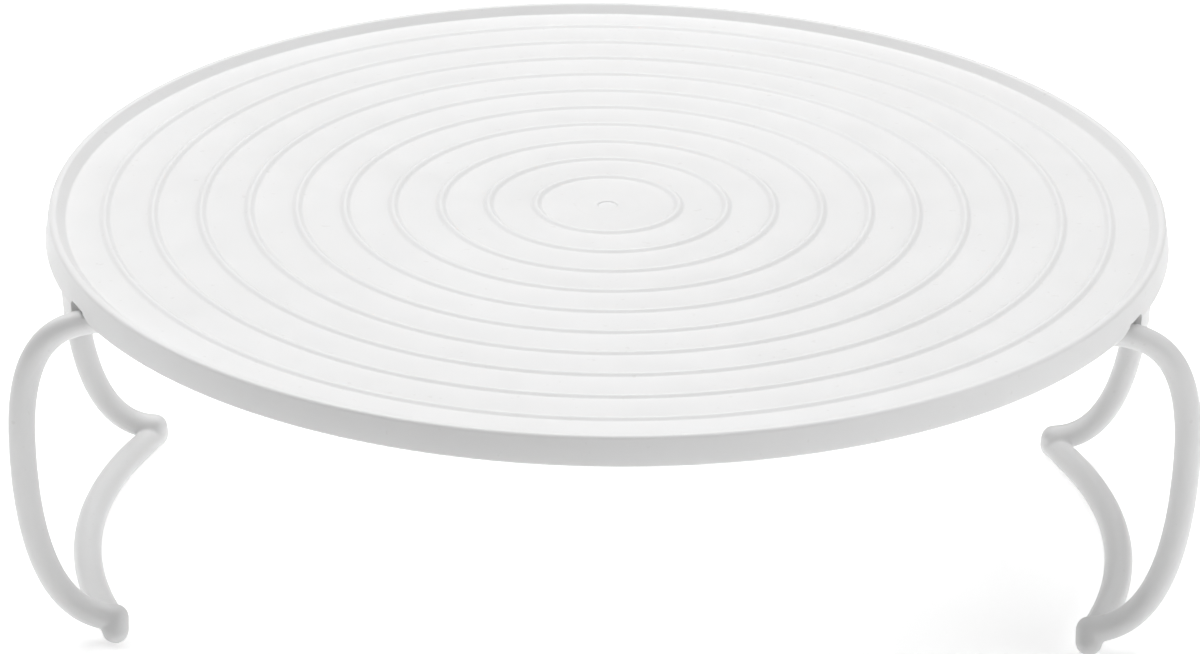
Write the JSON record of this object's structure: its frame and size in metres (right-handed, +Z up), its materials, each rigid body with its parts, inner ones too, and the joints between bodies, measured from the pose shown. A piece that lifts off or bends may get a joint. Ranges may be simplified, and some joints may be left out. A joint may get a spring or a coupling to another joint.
{
  "type": "folding round tray stand",
  "caption": "Round tray with raised rings on bow-shaped bar legs that fold inward beneath it, for lifting a plate above another.",
  "frame": {"origin": "on the surface it stands on, under the tray's centre", "axes": "+Z up, +X across the two legs from left to right, +Y from front to back along the hinge axes"},
  "size_m": [0.2428, 0.235, 0.082],
  "materials": {
    "tray_plastic": "satin white, fine moulded texture",
    "leg_plastic": "satin white, smooth"
  },
  "bodies": {
    "tray": {"tray": "tray_plastic"},
    "left_leg": {"left_leg": "leg_plastic"},
    "right_leg": {"right_leg": "leg_plastic"}
  },
  "joints": [
    {"name": "left_leg_fold", "type": "hinge", "parent": "tray", "child": "left_leg", "pos_m": [-0.094, 0, 0.075], "axis": [0, -1, 0], "range_deg": [0, 95]},
    {"name": "right_leg_fold", "type": "hinge", "parent": "tray", "child": "right_leg", "pos_m": [0.094, 0, 0.075], "axis": [0, 1, 0], "range_deg": [0, 95]}
  ]
}
